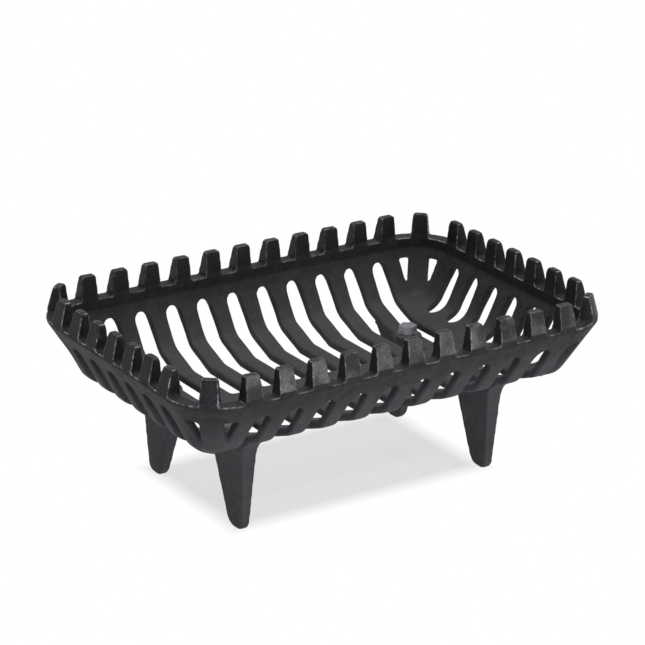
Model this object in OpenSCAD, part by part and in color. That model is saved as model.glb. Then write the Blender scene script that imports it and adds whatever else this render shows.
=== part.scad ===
// Cast iron log grate: a shallow slotted basket with a crown of teeth, on four bolted fin legs.
// Millimetres, Z up, standing on Z = 0, long sides parallel to X, centred on the origin.

/* [Basket] */

// Length of the rim over the two ends
rim_length = 385; // [330:1:600]

// Width of the rim over the two long sides
rim_width = 260; // [230:1:450]

// Height of the rim ledge above the hearth
rim_height = 132.5; // [125:0.5:138]

// Width of the rim ledge between the teeth
ledge_width = 12; // [10:0.5:14]

// Upright band round the rim, just below the ledge
rim_band = 2.5; // [1:0.5:5]

// Plan radius of the rim corners
corner_radius = 42; // [42:1:46]

// Height of the flat underside of the floor above the hearth
floor_height = 72; // [66:0.5:76]

// Slope of the long walls from the horizontal
side_slope = 54; // [52:0.5:58]

// Slope of the end walls from the horizontal
end_slope = 62; // [60:0.5:64]

// Slope of the walls above the slots, and of the corner bars, from the horizontal
rim_slope = 57.5; // [56:0.5:60]

// Slope of the floor where it rises to meet the walls
ramp_slope = 21; // [15:0.5:24]

// Distance in from a long rim to where the floor turns flat
side_ramp_foot = 63; // [60:1:70]

// Distance in from an end rim to where the floor turns flat
end_ramp_foot = 56; // [54:1:62]

// Outside radius where a wall turns into the floor
belly_radius = 19; // [16:1:22]

// Thickness of the walls, the bars and the floor
wall = 7; // [6:0.5:8]

/* [Teeth] */

// Teeth standing along each long side, between the corner teeth
side_teeth = 11; // [5:2:17]

// Spacing of the teeth and bars along a long side
side_pitch = 28.5; // [20:0.5:40]

// Teeth standing along each end, between the corner teeth
end_teeth = 7; // [3:2:11]

// Spacing of the teeth and bars along an end
end_pitch = 27; // [20:0.1:40]

// Direction of a corner tooth, turned from the long axis
corner_tooth_angle = 51; // [47:1:53]

// Height of the teeth above the ledge
tooth_height = 20.5; // [12:0.5:40]

// Upright collar of a tooth above the ledge, before its outer face leans in
tooth_collar = 3; // [1:0.5:5]

// Width of a tooth just above its root fillets
tooth_base = 15.2; // [8:0.1:20]

// Width of a tooth across its crest
tooth_crest = 12.6; // [6:0.1:18]

// Thickness of a tooth at its crest
tooth_tip = 5.9; // [3:0.1:7]

// How far the outer face of a tooth leans inwards over its height
tooth_lean = 4.4; // [0:0.2:6]

// Radius of the fillets where a tooth meets the ledge
tooth_fillet = 1.5; // [1:0.5:4]

/* [Slots] */

// Width of the slots between the bars
slot_width = 13; // [8:0.5:16]

// Height of the tops of the slots in the long walls
side_slot_top = 116.5; // [112:0.5:118]

// Height of the tops of the slots in the end walls
end_slot_top = 117.5; // [114:0.5:122]

// Width of the bar that runs down each corner
corner_bar = 17.5; // [16:0.5:22]

// How far the edge of the last bar of an end turns towards the corner
end_bar_splay = 12; // [8:1:14]

// Radius of the two round corners at the top of a corner slot
corner_slot_radius = 4; // [2:0.5:5]

// Width of the solid spine along the middle of the floor
spine_width = 18; // [10:1:40]

/* [Legs] */

// Bar, counted from the middle of a long side, that a leg stands under
leg_bar = 4; // [2:1:5]

// Distance between the front and the rear feet, centre to centre
foot_spread = 122; // [112:1:126]

// Width of a foot, front to back
foot_width = 19; // [18:1:24]

// Thickness of a foot along the grate
foot_thickness = 7; // [6:0.5:10]

// How much further out the outer edge of a leg stands at its top than at its foot
leg_flare_out = 5.6; // [2:0.2:8]

// How much further in the inner edge of a leg stands at its top than at its foot
leg_flare_in = 24; // [20:0.5:28]

// Height of the neck, from which a leg widens to the full width of its bar
neck_height = 57; // [40:1:60]

// Thickness of a leg at its neck
neck_thickness = 12.6; // [11:0.1:14]

// Radius of the sweep from the outer edge of a leg to the ramp above it
leg_sweep = 14; // [8:1:16]

// Thickness of the seat of a leg at its rim
seat_edge = 1.2; // [1:0.2:3]

// Radius of the rounded toe, front and back
toe_radius = 6; // [3:0.5:8]

/* [Fasteners] */

// Nominal thread diameter of a leg bolt
bolt_diameter = 8; // [6:1:10]

// Bolt length under the head
bolt_length = 25; // [20:5:40]

// Width of the hexagon head across its flats
bolt_head_flats = 13; // [10:1:17]

// Height of the hexagon head
bolt_head_height = 5.3; // [4:0.1:7]

// Distance from the middle of a foot in to its bolt
bolt_inset = 15; // [13:0.5:16]

// Diameter of the clearance hole through the floor
bolt_clearance = 9; // [7:0.5:12]

// Outside diameter of a washer
washer_diameter = 16; // [12:1:24]

// Thickness of a washer
washer_thickness = 1.6; // [1:0.1:3]

// Inside diameter of a washer
washer_bore = 8.4; // [6.4:0.1:10.5]

// Diameter of the round eye cast in the bar around a bolt
eye_diameter = 24; // [20:1:28]

// Diameter of the peg on a leg that stops it turning
peg_diameter = 6; // [4:0.5:8]

// Distance from the bolt to the peg
peg_offset = 13; // [12:0.5:14]

// Height of the peg
peg_height = 6; // [3:0.5:9]

/* [Hidden] */

half_length = rim_length / 2;
half_width = rim_width / 2;
corner_x = half_length - corner_radius;
corner_y = half_width - corner_radius;
knee_inset = (rim_height - rim_band - side_slot_top) / tan(rim_slope);
wall_across = wall / sin(rim_slope);
ledge_root_z = rim_height - rim_band - (ledge_width - wall_across) * tan(rim_slope);
floor_top = floor_height + wall;
bend_steps = 8;
side_bar = side_pitch - slot_width;
end_bar = end_pitch - slot_width;
tooth_lap = 1;
eps = 1;
thread_gap = 0.02;
peg_gap = 0.4;
leg_x = leg_bar * side_pitch;
foot_y = foot_spread / 2;
bolt_y = foot_y - bolt_inset;
cast_iron = [0.16, 0.16, 0.17];
zinc = [0.62, 0.63, 0.65];

// Sections are snapped to hundredths, so that neighbouring sweeps meet at the very same points.
function snap(section) = [for (p = section) [round(p[0] * 100) / 100, round(p[1] * 100) / 100]];

function reversed(v) = [for (i = [len(v) - 1 : -1 : 0]) v[i]];

// ---- Section of the wall: [inset from the rim, height] ----

// Where a wall line, down through the point knee, meets the line of the ramp, out through the point foot
function wall_meets_ramp(knee, slope, foot) =
    let (x = (knee[1] + tan(slope) * knee[0] - foot[1] - tan(ramp_slope) * foot[0])
        / (tan(slope) - tan(ramp_slope)))
    [x, knee[1] - tan(slope) * (x - knee[0])];

// The arc that rounds that corner off
function belly(corner, slope, r) =
    let (turn = slope - ramp_slope,
         across = [sin(slope) + sin(ramp_slope), cos(slope) + cos(ramp_slope)] / (1 + cos(turn)))
    [for (i = [0 : bend_steps])
        let (t = slope - turn * i / bend_steps)
        corner + r * (across - [sin(t), cos(t)])];

function ramp_z(inset, foot) = floor_height + (foot - inset) * tan(ramp_slope);

// The ramp's upper face turns flat a little further in than its lower face
function inner_foot(foot) = [foot + wall * tan(ramp_slope / 2), floor_top];

function wall_section(slope, foot) = let (
    knee = [knee_inset, side_slot_top],
    inner_knee = [knee_inset + wall_across, side_slot_top],
    edge_z = ramp_z(corner_radius, foot))
    snap(concat(
        [[0, rim_height], [0, rim_height - rim_band], knee],
        belly(wall_meets_ramp(knee, slope, [foot, floor_height]), slope, belly_radius),
        [[corner_radius, edge_z], [corner_radius, edge_z + wall / cos(ramp_slope)]],
        reversed(belly(wall_meets_ramp(inner_knee, slope, inner_foot(foot)), slope, belly_radius - wall)),
        [inner_knee, [ledge_width, ledge_root_z], [ledge_width, rim_height]]));

function tooth_section() = [
    [0, rim_height],
    [0, rim_height + tooth_collar],
    [tooth_lean, rim_height + tooth_height],
    [tooth_lean + tooth_tip, rim_height + tooth_height],
    [ledge_width, rim_height],
    [ledge_width - tooth_lap, rim_height - tooth_lap],
    [tooth_lap, rim_height - tooth_lap]];

function from_axis(radius, section) = [for (p = section) [radius - p[0], p[1]]];

// ---- Front view of a tooth: [offset from its middle, height above the ledge] ----

tooth_draft = atan((tooth_base - tooth_crest) / 2 / tooth_height);
fillet_x = tooth_base / 2 + tooth_fillet / cos(tooth_draft) - tooth_fillet * tan(tooth_draft);
crest_round = 2;
fillet_steps = 4;

function tooth_flank() = concat(
    [[fillet_x, -tooth_lap]],
    [for (i = [0 : fillet_steps])
        let (t = 270 - (90 - tooth_draft) * i / fillet_steps)
        [fillet_x + tooth_fillet * cos(t), tooth_fillet + tooth_fillet * sin(t)]],
    [for (i = [0 : 2])
        let (t = tooth_draft + (90 - tooth_draft) * i / 2)
        [tooth_crest / 2 - crest_round * (1 - cos(t)),
         tooth_height - crest_round * (1 - sin(t))]]);

function tooth_outline() = concat(
    tooth_flank(),
    [for (p = reversed(tooth_flank())) [-p[0], p[1]]]);

module tooth_comb(count, pitch)
{
    for (i = [0 : count - 1])
        translate([(i - (count - 1) / 2) * pitch, rim_height])
            polygon(tooth_outline());
}

// ---- Sweeps of a section round the rim ----

module along_x(reach)
{
    rotate([90, 0, 90])
        linear_extrude(2 * reach, center = true)
            children();
}

module along_y(reach)
{
    rotate([90, 0, 0])
        linear_extrude(2 * reach, center = true)
            children();
}

module along_side(section, reach)
{
    translate([-reach, -half_width, 0])
        rotate([90, 0, 90])
            linear_extrude(2 * reach)
                polygon(section);
}

module along_end(section, reach)
{
    translate([half_length, reach, 0])
        rotate([90, 0, 0])
            linear_extrude(2 * reach)
                polygon(from_axis(0, section));
}

module round_corner(section)
{
    translate([corner_x, corner_y, 0])
        rotate_extrude(angle = 90)
            polygon(from_axis(corner_radius, section));
}

module both_sides()
{
    children();
    mirror([0, 1, 0]) children();
}

module both_ends()
{
    children();
    mirror([1, 0, 0]) children();
}

// ---- Basket ----

// Everything over the floor, seen along it: flat in the middle, ramps up to both edges
function over_floor(half, foot, lift, margin) =
    let (edge = half - corner_radius + margin,
         edge_z = ramp_z(corner_radius - margin, foot) + (lift == 0 ? 0 : wall / cos(ramp_slope)),
         flat = half - (lift == 0 ? foot : inner_foot(foot)[0]),
         side = [[flat, floor_height + lift], [edge, edge_z], [edge, rim_height + margin]])
    snap(concat(side, [for (p = reversed(side)) [-p[0], p[1]]]));

module over_dish(lift, margin)
{
    intersection()
    {
        along_x(corner_x + margin) polygon(over_floor(half_width, side_ramp_foot, lift, margin));
        along_y(corner_y + margin) polygon(over_floor(half_length, end_ramp_foot, lift, margin));
    }
}

module basket_shell()
{
    both_sides() along_side(wall_section(side_slope, side_ramp_foot), corner_x);
    both_ends() along_end(wall_section(end_slope, end_ramp_foot), corner_y);
    both_sides() both_ends() round_corner(wall_section(rim_slope, side_ramp_foot));
    difference()
    {
        over_dish(0, 0);
        over_dish(wall, eps);
    }
}

module slot_face(top)
{
    translate([-slot_width / 2, floor_height - eps])
        square([slot_width, top - slot_width / 2 - floor_height + eps]);
    translate([0, top - slot_width / 2])
        circle(d = slot_width, $fn = 48);
}

module side_slots()
{
    slots = side_teeth - 1;
    for (i = [0 : slots - 1])
        translate([(i - (slots - 1) / 2) * side_pitch, 0, 0])
            rotate([90, 0, 0])
                linear_extrude(rim_width + 2 * eps, center = true)
                    slot_face(side_slot_top);
}

end_slot_x = (side_teeth - 1) / 2 * side_pitch + side_bar / 2 + slot_width / 2;

module end_slots()
{
    slots = end_teeth - 1;
    for (i = [0 : slots - 1])
        translate([0, (i - (slots - 1) / 2) * end_pitch, 0])
        {
            translate([end_slot_x, 0, 0])
                rotate([90, 0, 90])
                    linear_extrude(half_length - end_slot_x + eps)
                        slot_face(end_slot_top);
            translate([end_slot_x, 0, floor_height - eps])
                cylinder(h = end_slot_top - floor_height, d = slot_width, $fn = 48);
        }
}

// The corner slots are wedges, round at the top, between the corner bar and the last bar of a side or an end.
corner = [corner_x, corner_y];
bar_dir = [cos(corner_tooth_angle), sin(corner_tooth_angle)];
bar_out = [-bar_dir[1], bar_dir[0]];
side_edge = [(side_teeth - 1) / 2 * side_pitch + side_bar / 2, corner_y];
end_edge = [corner_x, (end_teeth - 1) / 2 * end_pitch + end_bar / 2];
wedge_reach = 2 * corner_radius;

// Where an edge of the corner bar meets the edge of the bar next to it
function edges_meet(bar_edge, next_edge, angle) =
    let (dir = [cos(angle), sin(angle)])
    bar_edge + bar_dir * cross(next_edge - bar_edge, dir) / cross(bar_dir, dir);

module corner_slot_face(width)
{
    inset = width / 2 - corner_slot_radius;
    translate([-width / 2, floor_height - eps])
        square([width, side_slot_top - corner_slot_radius - floor_height + eps]);
    translate([-inset, floor_height - eps])
        square([2 * inset, side_slot_top - floor_height + eps]);
    for (side = [-1, 1])
        translate([side * inset, side_slot_top - corner_slot_radius])
            circle(r = corner_slot_radius, $fn = 48);
}

module corner_slot(apex, from_angle, to_angle)
{
    widen = tan((to_angle - from_angle) / 2);
    depth = corner_radius - knee_inset - norm(apex - corner);
    translate([apex[0], apex[1], 0])
        rotate([0, 0, (from_angle + to_angle) / 2])
            intersection()
            {
                translate([0, 0, floor_height - eps])
                    linear_extrude(side_slot_top - floor_height + 2 * eps)
                        polygon([[0, 0], wedge_reach * [1, -widen], wedge_reach * [1, widen]]);
                rotate([90, 0, 90])
                    linear_extrude(wedge_reach)
                        corner_slot_face(2 * depth * widen);
            }
}

module corner_slots()
{
    corner_slot(edges_meet(corner + corner_bar / 2 * bar_out, side_edge, 90), corner_tooth_angle, 90);
    corner_slot(edges_meet(corner - corner_bar / 2 * bar_out, end_edge, end_bar_splay),
                end_bar_splay, corner_tooth_angle);
}

module side_crown()
{
    intersection()
    {
        along_side(tooth_section(), corner_x);
        rotate([90, 0, 0])
            linear_extrude(half_width + eps)
                tooth_comb(side_teeth, side_pitch);
    }
}

module end_crown()
{
    intersection()
    {
        along_end(tooth_section(), corner_y);
        translate([half_length / 2, 0, 0])
            rotate([90, 0, 90])
                linear_extrude(half_length / 2 + eps)
                    tooth_comb(end_teeth, end_pitch);
    }
}

module corner_crown()
{
    intersection()
    {
        round_corner(tooth_section());
        translate([corner_x, corner_y, 0])
            rotate([90, 0, corner_tooth_angle + 90])
                linear_extrude(corner_radius + eps)
                    tooth_comb(1, 0);
    }
}

spine_reach = half_length - end_ramp_foot - eps;

module at_legs()
{
    both_sides() both_ends()
        translate([leg_x, bolt_y, 0])
            children();
}

module basket()
{
    color(cast_iron)
    difference()
    {
        union()
        {
            difference()
            {
                basket_shell();
                side_slots();
                both_ends() end_slots();
                both_sides() both_ends() corner_slots();
            }
            translate([-spine_reach, -spine_width / 2, floor_height])
                cube([2 * spine_reach, spine_width, wall]);
            at_legs()
                translate([0, 0, floor_height])
                    cylinder(h = wall, d = eye_diameter, $fn = 96);
            both_sides() side_crown();
            both_ends() end_crown();
            both_sides() both_ends() corner_crown();
        }
        at_legs()
        {
            translate([0, 0, floor_height - eps])
                cylinder(h = wall + 2 * eps, d = bolt_clearance, $fn = 48);
            translate([0, -peg_offset, floor_height - eps])
                cylinder(h = wall + 2 * eps, d = peg_diameter + peg_gap, $fn = 48);
        }
    }
}

// ---- Legs: modelled for the rear right corner, outwards is +Y ----

heel = foot_width / 2;
outer_draft = atan(leg_flare_out / floor_height);
ramp_start = half_width - side_ramp_foot - foot_y;
sweep_steps = 6;
neck_steps = 4;
toe_chamfer = toe_radius * 0.3;
foot_edge = 1.5;

// The sweep ends on a line seat_edge below the ramp
function below_ramp(y) = floor_height - seat_edge + (y - ramp_start) * tan(ramp_slope);

sweep_corner_y = (heel + tan(outer_draft) * below_ramp(0)) / (1 - tan(outer_draft) * tan(ramp_slope));
sweep_centre = [sweep_corner_y, below_ramp(sweep_corner_y)]
    + leg_sweep * [cos(outer_draft) + sin(ramp_slope), -sin(outer_draft) - cos(ramp_slope)]
    / (1 + sin(outer_draft + ramp_slope));
sweep = [for (i = [0 : sweep_steps])
    let (t = outer_draft + (90 - ramp_slope - outer_draft) * i / sweep_steps)
    sweep_centre + leg_sweep * [-cos(t), sin(t)]];
sweep_end = sweep[sweep_steps] + seat_edge * cos(ramp_slope) * [-sin(ramp_slope), cos(ramp_slope)];

module leg_side_view()
{
    polygon(concat(
        [[-heel + toe_radius, 0],
         [heel - toe_radius, 0],
         [heel - toe_chamfer, toe_chamfer],
         [heel + toe_radius * tan(outer_draft), toe_radius]],
        sweep,
        [sweep_end,
         [ramp_start, floor_height],
         [-heel - leg_flare_in, floor_height],
         [-heel - leg_flare_in, floor_height - seat_edge],
         [-heel - toe_radius * leg_flare_in / floor_height, toe_radius],
         [-heel + toe_chamfer, toe_chamfer]]));
}

// Half the thickness of a leg above its neck, where it widens to the width of its bar
function half_above_neck(z) =
    let (taper = (neck_thickness - foot_thickness) / 2 / neck_height,
         rise = floor_height - neck_height,
         extra = (side_bar - neck_thickness) / 2 - taper * rise)
    neck_thickness / 2 + taper * (z - neck_height) + extra * pow((z - neck_height) / rise, 2);

leg_flank = concat(
    [[foot_thickness / 2 - foot_edge, 0],
     [foot_thickness / 2 - foot_edge * 0.3, foot_edge * 0.3],
     [foot_thickness / 2, foot_edge]],
    [for (i = [0 : neck_steps])
        let (z = neck_height + (floor_height - neck_height) * i / neck_steps)
        [half_above_neck(z), z]],
    [[side_bar / 2, sweep_end[1] + eps]]);

module leg_front_view()
{
    polygon(concat(leg_flank, [for (p = reversed(leg_flank)) [-p[0], p[1]]]));
}

module leg()
{
    color(cast_iron)
    difference()
    {
        union()
        {
            intersection()
            {
                along_x(side_bar) leg_side_view();
                along_y(foot_y) leg_front_view();
            }
            translate([0, -bolt_inset - peg_offset, floor_height - eps])
                cylinder(h = peg_height + eps, d = peg_diameter, $fn = 48);
        }
        translate([0, -bolt_inset, floor_height - tap_depth])
            cylinder(h = tap_depth + eps, d = bolt_diameter + 2 * thread_gap, $fn = 48);
    }
}

head_z = floor_top + washer_thickness;
tap_depth = bolt_length - washer_thickness - wall + 2;

module washer()
{
    color(zinc)
    translate([0, 0, floor_top])
        difference()
        {
            cylinder(h = washer_thickness, d = washer_diameter, $fn = 64);
            translate([0, 0, -eps])
                cylinder(h = washer_thickness + 2 * eps, d = washer_bore, $fn = 48);
        }
}

module bolt()
{
    color(zinc)
    translate([0, 0, head_z])
    {
        translate([0, 0, -bolt_length])
            cylinder(h = bolt_length + eps, d = bolt_diameter, $fn = 48);
        linear_extrude(bolt_head_height)
            polygon([for (i = [0 : 5])
                bolt_head_flats / sqrt(3) * [cos(60 * i + 30), sin(60 * i + 30)]]);
    }
}

// ---- Placing: the rear right set is mirrored to the other three corners ----

module place(sx, sy, y)
{
    mirror([sx < 0 ? 1 : 0, 0, 0])
        mirror([0, sy < 0 ? 1 : 0, 0])
            translate([leg_x, y, 0])
                children();
}

module leg_front_left() { place(-1, -1, foot_y) leg(); }
module leg_front_right() { place(1, -1, foot_y) leg(); }
module leg_rear_left() { place(-1, 1, foot_y) leg(); }
module leg_rear_right() { place(1, 1, foot_y) leg(); }
module leg_washer_front_left() { place(-1, -1, bolt_y) washer(); }
module leg_washer_front_right() { place(1, -1, bolt_y) washer(); }
module leg_washer_rear_left() { place(-1, 1, bolt_y) washer(); }
module leg_washer_rear_right() { place(1, 1, bolt_y) washer(); }
module leg_bolt_front_left() { place(-1, -1, bolt_y) bolt(); }
module leg_bolt_front_right() { place(1, -1, bolt_y) bolt(); }
module leg_bolt_rear_left() { place(-1, 1, bolt_y) bolt(); }
module leg_bolt_rear_right() { place(1, 1, bolt_y) bolt(); }

basket();
leg_front_left();
leg_front_right();
leg_rear_left();
leg_rear_right();
leg_washer_front_left();
leg_washer_front_right();
leg_washer_rear_left();
leg_washer_rear_right();
leg_bolt_front_left();
leg_bolt_front_right();
leg_bolt_rear_left();
leg_bolt_rear_right();
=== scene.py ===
"""Cast iron log grate, in metres: sand-cast finish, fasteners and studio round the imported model."""

import math

import bmesh
import bpy
import numpy as np
from mathutils import Matrix, Vector, kdtree, noise


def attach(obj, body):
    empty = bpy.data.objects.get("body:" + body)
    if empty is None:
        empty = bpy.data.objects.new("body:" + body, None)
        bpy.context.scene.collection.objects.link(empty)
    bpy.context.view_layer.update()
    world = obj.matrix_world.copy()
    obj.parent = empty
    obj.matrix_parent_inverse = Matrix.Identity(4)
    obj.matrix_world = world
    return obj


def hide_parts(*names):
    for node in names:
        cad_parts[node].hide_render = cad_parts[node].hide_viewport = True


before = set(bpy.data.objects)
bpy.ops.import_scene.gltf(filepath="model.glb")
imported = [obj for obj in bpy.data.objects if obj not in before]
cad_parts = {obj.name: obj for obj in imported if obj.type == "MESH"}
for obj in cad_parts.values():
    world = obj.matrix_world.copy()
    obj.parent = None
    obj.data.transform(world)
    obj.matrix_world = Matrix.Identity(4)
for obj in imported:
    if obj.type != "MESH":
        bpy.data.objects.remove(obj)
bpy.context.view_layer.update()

# ---------------------------------------------------------------------------------------------
# Driving values: the castings
# ---------------------------------------------------------------------------------------------

MM = 0.001

# Grain of the rebuilt surface, and about how many triangles it may keep
BASKET_VOXEL = 0.7 * MM
LEG_VOXEL = 0.7 * MM
BASKET_FACES = 188_000
LEG_FACES = 14_000

# How far the edges are rounded
TOOTH_ROUNDING = 0.22 * MM
CREST_ROUNDING_SIDES = 0.8 * MM
CREST_ROUNDING_ENDS = 1.6 * MM
BAR_ROUNDING = 3.0 * MM
LEG_ROUNDING = 1.6 * MM

# Heights on the basket: the rim ledge, the crests of the teeth and the top of the slots
LEDGE_Z = 132.5 * MM
CREST_Z = 153 * MM
SLOT_TOP_Z = 116.5 * MM

# Where the bars start to get rounder and how far down that takes, and the same up on the crests
BARS_ROUND_FROM_Z = SLOT_TOP_Z + 3 * MM
BARS_RUN = 22 * MM
CRESTS_ROUND_FROM_Z = CREST_Z - 5 * MM
CRESTS_RUN = 3 * MM

# Sharp edges of the teeth and the rim: how sharp, how closely their points stand, above which
# height they are looked for, and above which height their distance is measured
SHARP_ANGLE = math.radians(40)
EDGE_POINT_SPACING = 0.3 * MM
EDGES_ABOVE_Z = LEDGE_Z - 0.5 * MM
MEASURED_ABOVE_Z = LEDGE_Z - 2 * MM

# Points of a solid closer than the first are one point, and the second stands for a distance
# that isn't measured
MERGED_WITHIN = 0.001 * MM
FAR_AWAY = 1.0

# The strip beside those edges where the net stays fine, and the width that is worn
FINE_STRIP = 1.15 * MM
WORN_FROM, WORN_FULL = 0.85 * MM, 0.30 * MM

# The seat of a leg: its flat top, the ramp of the floor outside it, how far below it a point still
# counts as seat, and how far up and how much narrower it runs into its bar
SEAT_Z = 72 * MM
RAMP_START_Y = 67 * MM
RAMP_RISE = math.tan(math.radians(21))
SEAT_SKIN = 0.3 * MM
SEAT_BLEND_UP = 3.5 * MM
SEAT_BLEND_IN = 0.84

# Sand-cast unevenness: a slow waviness and a fine roughness, height and spacing
WAVE_HEIGHT, WAVE_LENGTH = 0.22 * MM, 17 * MM
LUMP_HEIGHT, LUMP_LENGTH = 0.10 * MM, 5 * MM
SEED_SHIFT = (1.0, -1.7, 0.6)
BASKET_SEEDS = (3.0, 11.0)
FIRST_LEG_SEED, LEG_SEED_STEP, LUMP_SEED_SHIFT = 20.0, 7.0, 5.0

# Bevel of the bolts and washers
FASTENER_BEVEL = 0.4 * MM

# ---------------------------------------------------------------------------------------------
# Driving values: the finish
# ---------------------------------------------------------------------------------------------

# Colours of the iron: its mottled paint, its ground faces with their painted sheen, and its bared
# edges
IRON_DARK = (0.0225, 0.0230, 0.0245, 1)
IRON_LIGHT = (0.0395, 0.0405, 0.0410, 1)
IRON_GROUND_AND_SHEEN = (0.125, 0.127, 0.124, 1)
IRON_EDGE = (0.42, 0.425, 0.42, 1)

# Painted bounce light: the belly is drawn lighter, standing in for light from the white floor below
# How many times lighter the two paints are drawn on the belly, and how much darker the teeth are
PAINTED_BOUNCE_DARK, PAINTED_BOUNCE_LIGHT = 2.6, 1.85
TEETH_DARKER = 0.72

# Where painted bounce light lightens the iron below, and where the teeth's finish starts above the
# ledge
PAINTED_BOUNCE_FROM_Z, PAINTED_BOUNCE_TO_Z = 122 * MM, 84 * MM
COLLAR = 3 * MM
TEETH_FROM_Z, TEETH_TO_Z = LEDGE_Z + COLLAR - 0.5 * MM, LEDGE_Z + COLLAR + 0.3 * MM

# Ground faces, drawn lighter as painted sheen on the long sides only: where the long sides are,
# how soft their limits are, and how far outward a face has to look to be ground and sheened
LONG_SIDE_FROM_Y = 112 * MM
LONG_SIDE_TO_X = 154 * MM
LONG_SIDE_SOFTNESS = 2 * MM
OUTWARD_RANGE = (0.72, 0.88)

# Streaks of the grinding wheel: their spacing, how drawn out they are upwards, and their contrast
STREAK_SCALE = 1500.0
STREAK_DRAWN = (1.0, 1.0, 0.22)
STREAK_RANGE = (0.35, 0.65)
STREAK_SHINE = (0.42, 1.05)

# Patches that vary the metal and the painted sheen of the ground faces from tooth to tooth
PATCH_SCALE = 38.0
PATCH_RANGE = (0.40, 0.62)
PATCH_SHINE = (0.12, 0.85)

# Worn edges: how noise breaks them up, and how strong they are on the ends and on the long sides
WEAR_SCALE = 260.0
WEAR_RANGE = (0.40, 0.60)
WEAR_LEAST = 0.12
WEAR_ENDS, WEAR_SIDES = 0.8, 0.42

# Sand-cast skin: spacing of its grain on iron and on zinc, of its lumps and of its clouds
IRON_GRAIN_SCALE, ZINC_GRAIN_SCALE = 1300.0, 2200.0
LUMP_SCALE = 260.0
CLOUD_SCALE = 70.0

# Shares of grain and lumps in its height, and of clouds and lumps in its mottling
HEIGHT_SHARES = (0.45, 0.8)
MOTTLE_SHARES = (0.6, 0.4)

# Contrast of its mottling and specks, and how strong the specks are on the teeth
MOTTLE_RANGE = (0.38, 0.64)
SPECK_RANGE = (0.50, 0.72)
SPECK_STRENGTH = 0.35

# Gloss of the iron: how matt its walls are, what the mottling changes, and how much smoother
# the teeth and the worn edges are
WALL_ROUGHNESS = 0.62
MOTTLE_ROUGHNESS = 0.05
TEETH_POLISH = 0.26
WORN_POLISH = 0.12
IRON_SPECULAR = 0.08

# How much of the bared metal counts as metal, at the edges and on the ground faces
WORN_METAL, GROUND_METAL = 0.6, 0.85

# Height of the grain: strength and depth on iron, what is left of it on the teeth, and on zinc
IRON_BUMP = (0.45, 0.25 * MM)
TEETH_BUMP = 0.45
ZINC_BUMP = (0.2, 0.05 * MM)

# Zinc plate of the fasteners
ZINC_DARK, ZINC_LIGHT = (0.26, 0.26, 0.27, 1), (0.38, 0.38, 0.39, 1)
ZINC_ROUGHNESS = (0.55, 0.42)

# ---------------------------------------------------------------------------------------------
# Driving values: the studio
# ---------------------------------------------------------------------------------------------

# Painted shadow on the floor between the feet, as the camera sees it: its own dim light, with a
# share of the light that falls on it for a faint real shadow, and its middle, half size and soft edge
FLOOR_GLOW = 0.66
FLOOR_WHITE = 0.17
FLOOR_PAINTED_SHADOW_MIDDLE = (-2 * MM, 5 * MM, 0)
FLOOR_PAINTED_SHADOW_HALF = (106 * MM, 58 * MM)
FLOOR_PAINTED_SHADOW_EDGE = 20 * MM

# The whole floor: half its side, and how much light it gives back to the iron
FLOOR_HALF = 6.0
FLOOR_BOUNCE = (0.85, 0.85, 0.85, 1)

# Light from all round: its strength, against 1 for the white that the camera and reflections
# see, and its colour, against plain white for the camera
WORLD_LIGHT = 0.20
WORLD_COLOUR = (0.93, 0.95, 1.0, 1)
WHITE = (1, 1, 1, 1)

# Softboxes: name, place, what they point at, width, height, watts and colour
MIDDLE = (0, 0, 0.1)
FEET = (0, 0, 0.04)
SOFTBOXES = (
    ("overhead", (0.05, 0.0, 1.9), MIDDLE, 1.0, 0.8, 21, (1, 1, 1)),
    ("key_right", (1.3, -1.5, 1.2), MIDDLE, 0.9, 0.9, 4, (1, 1, 1)),
    ("strip_right", (1.00, -1.85, 0.26), MIDDLE, 0.7, 0.24, 2, (1, 1, 1)),
    ("low_front", (0.1, -1.8, 0.16), FEET, 0.9, 0.26, 9, (1, 1, 1)),
    ("low_left", (-1.2, -1.3, 0.16), FEET, 0.9, 0.26, 4.2, (0.74, 0.85, 1.0)),
)

# Camera, at the photograph's viewing angle
PHOTO_SIDE = 645
FOCAL_PIXELS = 2942.07
SENSOR_WIDTH = 36.0
CLIP_NEAR, CLIP_FAR = 0.05, 50.0
CAMERA_AT = Vector((-1.18617, -1.80461, 0.94260))
CAMERA_AZIMUTH = math.radians(-33.309)
CAMERA_ELEVATION = math.radians(20.733)
CAMERA_ROLL = math.radians(0.889)


def new_object(name, data):
    obj = bpy.data.objects.new(name, data)
    bpy.context.collection.objects.link(obj)
    return obj


# ---------------------------------------------------------------------------------------------
# Castings: the solid's surface is rebuilt as an even mesh, and its edges are rounded off
# ---------------------------------------------------------------------------------------------

def apply_modifiers(obj):
    """Puts a plain mesh of what the object's modifiers make in their place."""
    seen = obj.evaluated_get(bpy.context.evaluated_depsgraph_get())
    mesh = bpy.data.meshes.new_from_object(seen, preserve_all_data_layers=False, depsgraph=None)
    obj.modifiers.clear()
    obj.data = mesh


def even_copy(node, name, voxel, reshape=None):
    """A copy of a CAD node whose surface is one even net of small quads."""
    obj = new_object(name, node.data.copy())
    if reshape:
        reshape(obj.data)
    remesh = obj.modifiers.new("even", "REMESH")
    remesh.mode = "VOXEL"
    remesh.voxel_size = voxel
    remesh.use_smooth_shade = True
    apply_modifiers(obj)
    return obj


def points_of(mesh):
    flat = np.empty(len(mesh.vertices) * 3)
    mesh.vertices.foreach_get("co", flat)
    return flat.reshape(-1, 3)


def set_points(mesh, points):
    mesh.vertices.foreach_set("co", np.ascontiguousarray(points, dtype=np.float32).ravel())
    mesh.update()


def normals_of(mesh):
    flat = np.empty(len(mesh.vertices) * 3)
    mesh.vertex_normals.foreach_get("vector", flat)
    return flat.reshape(-1, 3)


def edges_of(mesh):
    flat = np.empty(len(mesh.edges) * 2, np.int32)
    mesh.edges.foreach_get("vertices", flat)
    return flat.reshape(-1, 2)


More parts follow.
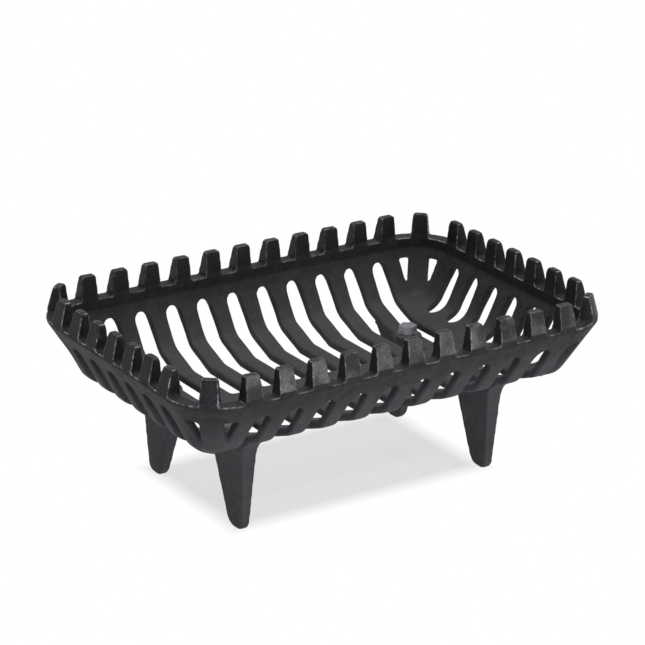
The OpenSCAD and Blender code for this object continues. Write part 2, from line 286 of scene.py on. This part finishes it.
def neighbour_mean(values, edges, degree):
    """For each vertex, the mean of its neighbours' values."""
    total = np.zeros_like(values)
    for column in range(values.shape[1]):
        total[:, column] = np.bincount(edges[:, 0], values[edges[:, 1], column], len(values))
        total[:, column] += np.bincount(edges[:, 1], values[edges[:, 0], column], len(values))
    return total / degree[:, None]


def round_edges(mesh, voxel, radius_at):
    """Smooths the net until its edges have about the radius wanted at each place."""
    points = points_of(mesh)
    edges = edges_of(mesh)
    degree = np.maximum(np.bincount(edges.ravel(), minlength=len(points)), 1)
    wanted = radius_at(points)
    step = 0.5
    # A diffusion of n steps spreads an edge over about voxel * sqrt(n * step)
    passes_at = (wanted / voxel) ** 2 / step
    passes = int(math.ceil(passes_at.max()))
    for count in range(passes):
        share = np.clip(passes_at - count, 0, 1)[:, None] * step
        points += (neighbour_mean(points, edges, degree) - points) * share
    set_points(mesh, points)


def roughen(mesh, wave_seed, lump_seed):
    """Moves each point along its normal by the sand-cast waviness and roughness."""
    points = points_of(mesh)
    normals = normals_of(mesh)
    lift = np.zeros(len(points))
    for height, length, seed in ((WAVE_HEIGHT, WAVE_LENGTH, wave_seed),
                                 (LUMP_HEIGHT, LUMP_LENGTH, lump_seed)):
        shift = Vector([seed * part for part in SEED_SHIFT])
        lift += height * np.array([noise.noise(Vector(p) / length + shift) for p in points])
    set_points(mesh, points + normals * lift[:, None])


def sharp_edges(mesh):
    """Search tree of points along the sharp outer edges of the rim and the teeth."""
    solid = bmesh.new()
    solid.from_mesh(mesh)
    bmesh.ops.remove_doubles(solid, verts=solid.verts, dist=MERGED_WITHIN)
    solid.normal_update()
    points = []
    for edge in solid.edges:
        first, last = (vertex.co.copy() for vertex in edge.verts)
        if len(edge.link_faces) != 2 or min(first.z, last.z) < EDGES_ABOVE_Z:
            continue
        if edge.calc_face_angle_signed(0.0) > SHARP_ANGLE:
            steps = max(1, round((last - first).length / EDGE_POINT_SPACING))
            points += [first.lerp(last, step / steps) for step in range(steps + 1)]
    solid.free()
    tree = kdtree.KDTree(len(points))
    for index, point in enumerate(points):
        tree.insert(point, index)
    tree.balance()
    return tree


def distance_to(tree, mesh):
    """How far each point of the rim and the teeth is from a sharp edge; far away below them."""
    return np.array([tree.find(vertex.co)[2] if vertex.co.z > MEASURED_ABOVE_Z else FAR_AWAY
                     for vertex in mesh.vertices])


def thin_out(obj, faces, keep=None):
    """Thins the mesh to about this many triangles, and leaves the points marked in keep alone."""
    obj.data.calc_loop_triangles()
    count = len(obj.data.loop_triangles)
    if count > faces:
        thin = obj.modifiers.new("thin", "DECIMATE")
        thin.ratio = faces / count
        if keep is not None:
            loose = obj.vertex_groups.new(name="loose")
            loose.add(np.flatnonzero(~keep).tolist(), 1.0, "REPLACE")
            thin.vertex_group = loose.name
        apply_modifiers(obj)


def mark_edges(mesh, distances):
    """Writes how near each point is to a sharp edge, from 0 to 1, for the wear of the paint."""
    near = np.clip((WORN_FROM - distances) / (WORN_FROM - WORN_FULL), 0, 1)
    edge = mesh.attributes.new("edge", "FLOAT", "POINT")
    edge.data.foreach_set("value", near.astype(np.float32))


def shade_smooth(obj):
    """Smooth shading that follows the large faces, so that flats stay flat up to their edges."""
    mesh = obj.data
    mesh.polygons.foreach_set("use_smooth", np.ones(len(mesh.polygons), bool))
    mesh.update()
    weighted = obj.modifiers.new("flat faces", "WEIGHTED_NORMAL")
    weighted.mode = "FACE_AREA_WITH_ANGLE"
    weighted.weight = 70


# ---------------------------------------------------------------------------------------------
# Node trees
# ---------------------------------------------------------------------------------------------

class Nodes:
    """Short calls for building a node tree. A value is a number, a colour or another's output."""

    def __init__(self, tree):
        self.tree = tree

    def add(self, kind, **settings):
        node = self.tree.nodes.new(kind)
        for key, value in settings.items():
            setattr(node, key, value)
        return node

    def link(self, source, target):
        self.tree.links.new(source, target)

    def put(self, value, socket):
        if isinstance(value, (int, float, tuple)):
            socket.default_value = value
        else:
            self.link(value, socket)

    def noise(self, vector, scale, detail, roughness=0.5):
        node = self.add("ShaderNodeTexNoise")
        self.link(vector, node.inputs["Vector"])
        self.put(scale, node.inputs["Scale"])
        node.inputs["Detail"].default_value = detail
        node.inputs["Roughness"].default_value = roughness
        return node.outputs["Fac"]

    def remap(self, value, low, high, to_low=0.0, to_high=1.0):
        node = self.add("ShaderNodeMapRange")
        self.link(value, node.inputs["Value"])
        self.put(low, node.inputs["From Min"])
        self.put(high, node.inputs["From Max"])
        node.inputs["To Min"].default_value = to_low
        node.inputs["To Max"].default_value = to_high
        return node.outputs["Result"]

    def math(self, operation, *values):
        node = self.add("ShaderNodeMath", operation=operation)
        for socket, value in zip(node.inputs, values):
            self.put(value, socket)
        return node.outputs[0]

    def vector_math(self, operation, first, second):
        node = self.add("ShaderNodeVectorMath", operation=operation)
        self.put(first, node.inputs[0])
        self.put(second, node.inputs[1])
        return node.outputs["Vector"]

    def weighted_sum(self, first, second, shares):
        return self.math("ADD", self.math("MULTIPLY", first, shares[0]),
                         self.math("MULTIPLY", second, shares[1]))

    def axes(self, vector):
        node = self.add("ShaderNodeSeparateXYZ")
        self.link(vector, node.inputs["Vector"])
        return node.outputs

    def mix(self, share, first, second):
        node = self.add("ShaderNodeMix", data_type="RGBA")
        for number, value in ((0, share), (6, first), (7, second)):
            self.put(value, node.inputs[number])
        return node.outputs[2]

    def mix_shaders(self, share, first, second):
        node = self.add("ShaderNodeMixShader")
        self.link(share, node.inputs[0])
        self.link(first.outputs[0], node.inputs[1])
        self.link(second.outputs[0], node.inputs[2])
        return node

    def bump(self, height, strength, distance):
        node = self.add("ShaderNodeBump")
        node.inputs["Strength"].default_value = strength
        node.inputs["Distance"].default_value = distance
        self.link(height, node.inputs["Height"])
        return node.outputs["Normal"]

    def group(self, tree, **values):
        """A placed node group; an underscore in a name stands for a space."""
        node = self.add("ShaderNodeGroup", node_tree=tree)
        for label, value in values.items():
            self.put(value, node.inputs[label.replace("_", " ")])
        return node.outputs


def empty_tree(owner):
    """The cleared node tree of a material or a world."""
    owner.use_nodes = True
    owner.node_tree.nodes.clear()
    return Nodes(owner.node_tree)


def group_with(name, inputs, outputs):
    """A shader node group: inputs {name: (type, default)}, outputs {name: type}."""
    tree = bpy.data.node_groups.new(name, "ShaderNodeTree")
    for label, (kind, default) in inputs.items():
        socket = tree.interface.new_socket(name=label, in_out="INPUT", socket_type=kind)
        if default is not None:
            socket.default_value = default
    for label, kind in outputs.items():
        tree.interface.new_socket(name=label, in_out="OUTPUT", socket_type=kind)
    nodes = Nodes(tree)
    return tree, nodes, nodes.add("NodeGroupInput").outputs, nodes.add("NodeGroupOutput").inputs


# ---------------------------------------------------------------------------------------------
# Effects
# ---------------------------------------------------------------------------------------------

def edge_wear_group():
    """Mask of the sharp outer edges, broken up by noise, as handling and shot blasting do."""
    tree, nodes, given, result = group_with(
        "edge_wear",
        {"Vector": ("NodeSocketVector", None), "Edge": ("NodeSocketFloat", 0.0),
         "Breakup Scale": ("NodeSocketFloat", WEAR_SCALE)},
        {"Mask": "NodeSocketFloat"})
    speckle = nodes.noise(given["Vector"], given["Breakup Scale"], 3.0)
    broken = nodes.remap(speckle, *WEAR_RANGE, WEAR_LEAST, 1.0)
    nodes.link(nodes.math("MULTIPLY", given["Edge"], broken), result["Mask"])
    return tree


def sand_grain_group():
    """Height and mottling of a sand-cast skin, and bright specks where its grains are rubbed."""
    tree, nodes, given, result = group_with(
        "sand_grain",
        {"Vector": ("NodeSocketVector", None),
         "Grain Scale": ("NodeSocketFloat", IRON_GRAIN_SCALE)},
        {"Height": "NodeSocketFloat", "Mottle": "NodeSocketFloat", "Specks": "NodeSocketFloat"})
    grain = nodes.noise(given["Vector"], given["Grain Scale"], 3.0, 0.6)
    lumps = nodes.noise(given["Vector"], LUMP_SCALE, 4.0, 0.6)
    clouds = nodes.noise(given["Vector"], CLOUD_SCALE, 5.0, 0.6)
    nodes.link(nodes.weighted_sum(grain, lumps, HEIGHT_SHARES), result["Height"])
    mottle = nodes.weighted_sum(clouds, lumps, MOTTLE_SHARES)
    nodes.link(nodes.remap(mottle, *MOTTLE_RANGE), result["Mottle"])
    nodes.link(nodes.remap(grain, *SPECK_RANGE), result["Specks"])
    return tree


def height_band_group():
    """Mask that goes from 0 to 1 between two heights above the hearth."""
    tree, nodes, given, result = group_with(
        "height_band",
        {"Vector": ("NodeSocketVector", None), "From": ("NodeSocketFloat", 0.0),
         "To": ("NodeSocketFloat", 1.0)},
        {"Mask": "NodeSocketFloat"})
    height = nodes.axes(given["Vector"])["Z"]
    nodes.link(nodes.remap(height, given["From"], given["To"]), result["Mask"])
    return tree


def dressed_faces_group():
    """Mask of the teeth's outward faces on the long sides, ground smooth and streaked, for painted
    sheen.
    """
    tree, nodes, given, result = group_with(
        "dressed_faces",
        {"Vector": ("NodeSocketVector", None), "Normal": ("NodeSocketVector", None),
         "Streak Scale": ("NodeSocketFloat", STREAK_SCALE)},
        {"Mask": "NodeSocketFloat", "Streaks": "NodeSocketFloat", "Long Side": "NodeSocketFloat"})
    axes, facing = nodes.axes(given["Vector"]), nodes.axes(given["Normal"])
    outward = nodes.math("MULTIPLY", facing["Y"], nodes.math("SIGN", axes["Y"]))
    across, along = nodes.math("ABSOLUTE", axes["Y"]), nodes.math("ABSOLUTE", axes["X"])
    long_side = nodes.math(
        "MULTIPLY", nodes.remap(across, LONG_SIDE_FROM_Y, LONG_SIDE_FROM_Y + LONG_SIDE_SOFTNESS),
        nodes.remap(along, LONG_SIDE_TO_X, LONG_SIDE_TO_X - LONG_SIDE_SOFTNESS))
    nodes.link(long_side, result["Long Side"])
    nodes.link(nodes.math("MULTIPLY", nodes.remap(outward, *OUTWARD_RANGE), long_side),
               result["Mask"])
    drawn = nodes.vector_math("MULTIPLY", given["Vector"], STREAK_DRAWN)
    streaks = nodes.noise(drawn, given["Streak Scale"], 2.0)
    nodes.link(nodes.remap(streaks, *STREAK_RANGE), result["Streaks"])
    return tree


# ---------------------------------------------------------------------------------------------
# Materials
# ---------------------------------------------------------------------------------------------

def new_material(name):
    material = bpy.data.materials.new(name)
    nodes = empty_tree(material)
    shader = nodes.add("ShaderNodeBsdfPrincipled")
    output = nodes.add("ShaderNodeOutputMaterial")
    nodes.link(shader.outputs["BSDF"], output.inputs["Surface"])
    return material, nodes, shader


def scaled(colour, factor):
    return tuple(channel * factor for channel in colour[:3]) + (1,)


def cast_iron_material(name, edge_wear, sand_grain, height_band, dressed_faces):
    """Black-painted sand-cast iron: matt, glossier teeth, bright worn edges, painted sheen on ground
    faces, painted bounce light below.
    """
    material, nodes, shader = new_material(name)
    where = nodes.add("ShaderNodeTexCoord")
    place = where.outputs["Object"]
    edge = nodes.add("ShaderNodeAttribute", attribute_name="edge").outputs["Fac"]
    skin = nodes.group(sand_grain, Vector=place, Grain_Scale=IRON_GRAIN_SCALE)
    wear = nodes.group(edge_wear, Vector=place, Edge=edge, Breakup_Scale=WEAR_SCALE)["Mask"]
    teeth = nodes.group(height_band, Vector=place, From=TEETH_FROM_Z, To=TEETH_TO_Z)["Mask"]
    painted_bounce = nodes.group(height_band, Vector=place, From=PAINTED_BOUNCE_FROM_Z, To=PAINTED_BOUNCE_TO_Z)["Mask"]
    ground = nodes.group(dressed_faces, Vector=place, Normal=where.outputs["Normal"],
                         Streak_Scale=STREAK_SCALE)
    worn = nodes.math("MULTIPLY", wear,
                      nodes.remap(ground["Long Side"], 0.0, 1.0, WEAR_ENDS, WEAR_SIDES))

    body = nodes.mix(skin["Mottle"], IRON_DARK, IRON_LIGHT)
    # Painted bounce light: the belly's colour is the paint made lighter toward the bottom
    belly = nodes.mix(skin["Mottle"], scaled(IRON_DARK, PAINTED_BOUNCE_DARK),
                      scaled(IRON_LIGHT, PAINTED_BOUNCE_LIGHT))
    body = nodes.mix(painted_bounce, body, belly)
    body = nodes.mix(teeth, body, scaled(IRON_DARK, TEETH_DARKER))
    specks = nodes.math("MULTIPLY", nodes.math("MULTIPLY", skin["Specks"], teeth),
                        SPECK_STRENGTH)
    body = nodes.mix(specks, body, IRON_GROUND_AND_SHEEN)
    # Painted sheen: on the long sides' ground faces the colour turns lighter and metallic, in patches
    patches = nodes.remap(nodes.noise(place, PATCH_SCALE, 2.0), *PATCH_RANGE, *PATCH_SHINE)
    ground_and_sheen = nodes.math("MULTIPLY", patches,
                       nodes.remap(ground["Streaks"], 0.0, 1.0, *STREAK_SHINE))
    ground_and_sheen = nodes.math("MULTIPLY", ground_and_sheen, nodes.math("MULTIPLY", ground["Mask"], teeth))
    body = nodes.mix(ground_and_sheen, body, IRON_GROUND_AND_SHEEN)
    nodes.link(nodes.mix(worn, body, IRON_EDGE), shader.inputs["Base Color"])

    bare = nodes.math("MAXIMUM", nodes.math("MULTIPLY", worn, WORN_METAL),
                      nodes.math("MULTIPLY", nodes.math("MAXIMUM", ground_and_sheen, specks), GROUND_METAL))
    nodes.link(bare, shader.inputs["Metallic"])
    rough = nodes.remap(skin["Mottle"], 0.0, 1.0, WALL_ROUGHNESS + MOTTLE_ROUGHNESS,
                        WALL_ROUGHNESS - MOTTLE_ROUGHNESS)
    rough = nodes.math("SUBTRACT", rough, nodes.math("MULTIPLY", teeth, TEETH_POLISH))
    rough = nodes.math("SUBTRACT", rough, nodes.math("MULTIPLY", worn, WORN_POLISH))
    nodes.link(rough, shader.inputs["Roughness"])
    shader.inputs["Specular IOR Level"].default_value = IRON_SPECULAR

    height = nodes.math("MULTIPLY", skin["Height"],
                        nodes.remap(teeth, 0.0, 1.0, 1.0, TEETH_BUMP))
    nodes.link(nodes.bump(height, *IRON_BUMP), shader.inputs["Normal"])
    return material


def zinc_material(name, sand_grain):
    """Dull zinc plate of the bolts and washers, darkened in patches by heat."""
    material, nodes, shader = new_material(name)
    place = nodes.add("ShaderNodeTexCoord").outputs["Object"]
    skin = nodes.group(sand_grain, Vector=place, Grain_Scale=ZINC_GRAIN_SCALE)
    nodes.link(nodes.mix(skin["Mottle"], ZINC_DARK, ZINC_LIGHT), shader.inputs["Base Color"])
    shader.inputs["Metallic"].default_value = 1.0
    nodes.link(nodes.remap(skin["Mottle"], 0.0, 1.0, *ZINC_ROUGHNESS),
               shader.inputs["Roughness"])
    nodes.link(nodes.bump(skin["Height"], *ZINC_BUMP), shader.inputs["Normal"])
    return material


def wear_only(obj, material):
    obj.data.materials.clear()
    obj.data.materials.append(material)


# ---------------------------------------------------------------------------------------------
# Pieces
# ---------------------------------------------------------------------------------------------

def basket_rounding(points):
    """Crisp teeth and rim with crests worn round, and bars that get rounder to the belly."""
    down = np.clip((BARS_ROUND_FROM_Z - points[:, 2]) / BARS_RUN, 0, 1)
    crest = np.clip((points[:, 2] - CRESTS_ROUND_FROM_Z) / CRESTS_RUN, 0, 1)
    long_side = (np.abs(points[:, 1]) > LONG_SIDE_FROM_Y) & (np.abs(points[:, 0]) < LONG_SIDE_TO_X)
    worn = np.where(long_side, CREST_ROUNDING_SIDES, CREST_ROUNDING_ENDS)
    return (TOOTH_ROUNDING + (BAR_ROUNDING - TOOTH_ROUNDING) * down
            + (worn - TOOTH_ROUNDING) * crest)


def make_basket(material):
    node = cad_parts["basket"]
    voxel = BASKET_VOXEL
    piece = even_copy(node, "basket_casting", voxel)
    round_edges(piece.data, voxel, basket_rounding)
    edges = sharp_edges(node.data)
    thin_out(piece, BASKET_FACES, distance_to(edges, piece.data) < FINE_STRIP)
    mark_edges(piece.data, distance_to(edges, piece.data))
    roughen(piece.data, *BASKET_SEEDS)
    shade_smooth(piece)
    wear_only(piece, material)
    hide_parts("basket")
    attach(piece, "root")


def blend_into_bar(mesh):
    """Carries the seat of a leg up into the bar above it, a little narrower, to hide the seam."""
    points = points_of(mesh)
    middle = (points[:, 0].min() + points[:, 0].max()) / 2
    seat = SEAT_Z + np.maximum(np.abs(points[:, 1]) - RAMP_START_Y, 0) * RAMP_RISE
    top = points[:, 2] > seat - SEAT_SKIN
    points[top, 0] = middle + (points[top, 0] - middle) * SEAT_BLEND_IN
    points[top, 2] += SEAT_BLEND_UP
    set_points(mesh, points)


def make_leg(corner, material, seed):
    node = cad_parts["leg_" + corner]
    voxel = LEG_VOXEL
    piece = even_copy(node, "leg_casting_" + corner, voxel, blend_into_bar)
    round_edges(piece.data, voxel, lambda points: np.full(len(points), LEG_ROUNDING))
    thin_out(piece, LEG_FACES)
    roughen(piece.data, seed, seed + LUMP_SEED_SHIFT)
    shade_smooth(piece)
    wear_only(piece, material)
    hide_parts("leg_" + corner)
    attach(piece, "root")


def dress_fasteners(material):
    for name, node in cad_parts.items():
        if "bolt" in name or "washer" in name:
            wear_only(node, material)
            edge = node.modifiers.new("edge", "BEVEL")
            edge.width = FASTENER_BEVEL
            edge.segments = 2
            edge.limit_method = "ANGLE"
            edge.angle_limit = SHARP_ANGLE


# ---------------------------------------------------------------------------------------------
# Studio
# ---------------------------------------------------------------------------------------------

def make_camera():
    data = bpy.data.cameras.new("camera")
    data.sensor_width = SENSOR_WIDTH
    data.lens = FOCAL_PIXELS * SENSOR_WIDTH / PHOTO_SIDE
    data.clip_start, data.clip_end = CLIP_NEAR, CLIP_FAR
    camera = new_object("camera", data)
    back = Vector((math.sin(CAMERA_AZIMUTH) * math.cos(CAMERA_ELEVATION),
                   -math.cos(CAMERA_AZIMUTH) * math.cos(CAMERA_ELEVATION),
                   math.sin(CAMERA_ELEVATION)))
    right = Vector((math.cos(CAMERA_AZIMUTH), math.sin(CAMERA_AZIMUTH), 0))
    up = back.cross(right)
    c, s = math.cos(CAMERA_ROLL), math.sin(CAMERA_ROLL)
    right, up = c * right + s * up, c * up - s * right
    turned = Matrix((right, up, back)).transposed().to_4x4()
    camera.matrix_world = Matrix.Translation(CAMERA_AT) @ turned
    bpy.context.scene.camera = camera


def seen_mask(nodes):
    """1 for camera, glossy and transmission rays, which see the white background."""
    path = nodes.add("ShaderNodeLightPath")
    mask = nodes.math("MAXIMUM", path.outputs["Is Camera Ray"], path.outputs["Is Glossy Ray"])
    return nodes.math("MAXIMUM", mask, path.outputs["Is Transmission Ray"])


def floor_material():
    """White, but for a painted pale shadow between the feet, which also takes some real shadow."""
    material = bpy.data.materials.new("white_floor")
    nodes = empty_tree(material)
    seen, unseen = nodes.add("ShaderNodeBsdfDiffuse"), nodes.add("ShaderNodeBsdfDiffuse")
    seen.inputs["Color"].default_value = (FLOOR_WHITE, FLOOR_WHITE, FLOOR_WHITE, 1)
    unseen.inputs["Color"].default_value = FLOOR_BOUNCE
    glow, white = nodes.add("ShaderNodeEmission"), nodes.add("ShaderNodeEmission")
    glow.inputs["Strength"].default_value = FLOOR_GLOW
    # Painted shadow: between the feet the floor is grey, a dim glow plus a little lit white
    painted_shadow = nodes.add("ShaderNodeAddShader")
    nodes.link(seen.outputs[0], painted_shadow.inputs[0])
    nodes.link(glow.outputs[0], painted_shadow.inputs[1])
    place = nodes.add("ShaderNodeTexCoord").outputs["Object"]
    axes = nodes.axes(nodes.vector_math("SUBTRACT", place, FLOOR_PAINTED_SHADOW_MIDDLE))
    past = [nodes.math("SUBTRACT", nodes.math("ABSOLUTE", axes[axis]), half)
            for axis, half in zip(("X", "Y"), FLOOR_PAINTED_SHADOW_HALF)]
    outside = nodes.remap(nodes.math("MAXIMUM", *past), 0.0, FLOOR_PAINTED_SHADOW_EDGE)
    shown = nodes.mix_shaders(outside, painted_shadow, white)
    surface = nodes.mix_shaders(seen_mask(nodes), unseen, shown)
    output = nodes.add("ShaderNodeOutputMaterial")
    nodes.link(surface.outputs[0], output.inputs["Surface"])
    return material


def make_floor():
    mesh = bpy.data.meshes.new("floor")
    corners = [(x * FLOOR_HALF, y * FLOOR_HALF, 0)
               for x, y in ((-1, -1), (1, -1), (1, 1), (-1, 1))]
    mesh.from_pydata(corners, [], [(0, 1, 2, 3)])
    mesh.materials.append(floor_material())
    floor = new_object("floor", mesh)


def make_world():
    """White to the camera, cooler white in reflections, and dim and cool as a light."""
    world = bpy.data.worlds.new("studio")
    nodes = empty_tree(world)
    background = nodes.add("ShaderNodeBackground")
    nodes.link(nodes.remap(seen_mask(nodes), 0.0, 1.0, WORLD_LIGHT, 1.0),
               background.inputs["Strength"])
    straight = nodes.add("ShaderNodeLightPath").outputs["Is Camera Ray"]
    nodes.link(nodes.mix(straight, WORLD_COLOUR, WHITE), background.inputs["Color"])
    output = nodes.add("ShaderNodeOutputWorld")
    nodes.link(background.outputs[0], output.inputs["Surface"])
    bpy.context.scene.world = world


def add_softbox(name, at, towards, width, height, watts, colour):
    data = bpy.data.lights.new(name, "AREA")
    data.shape = "RECTANGLE"
    data.size, data.size_y = width, height
    data.energy = watts
    data.color = colour
    lamp = new_object(name, data)
    lamp.location = at
    lamp.rotation_euler = (Vector(towards) - Vector(at)).to_track_quat("-Z", "Y").to_euler()


# ---------------------------------------------------------------------------------------------
# Scene
# ---------------------------------------------------------------------------------------------

bpy.context.scene.view_settings.view_transform = "Standard"
make_camera()
make_floor()
make_world()
for softbox in SOFTBOXES:
    add_softbox(*softbox)

edge_wear = edge_wear_group()
sand_grain = sand_grain_group()
iron = cast_iron_material("cast_iron_skin", edge_wear, sand_grain, height_band_group(),
                          dressed_faces_group())
zinc = zinc_material("dull_zinc", sand_grain)

make_basket(iron)
for seed, corner in enumerate(("front_left", "front_right", "rear_left", "rear_right")):
    make_leg(corner, iron, FIRST_LEG_SEED + LEG_SEED_STEP * seed)
dress_fasteners(zinc)
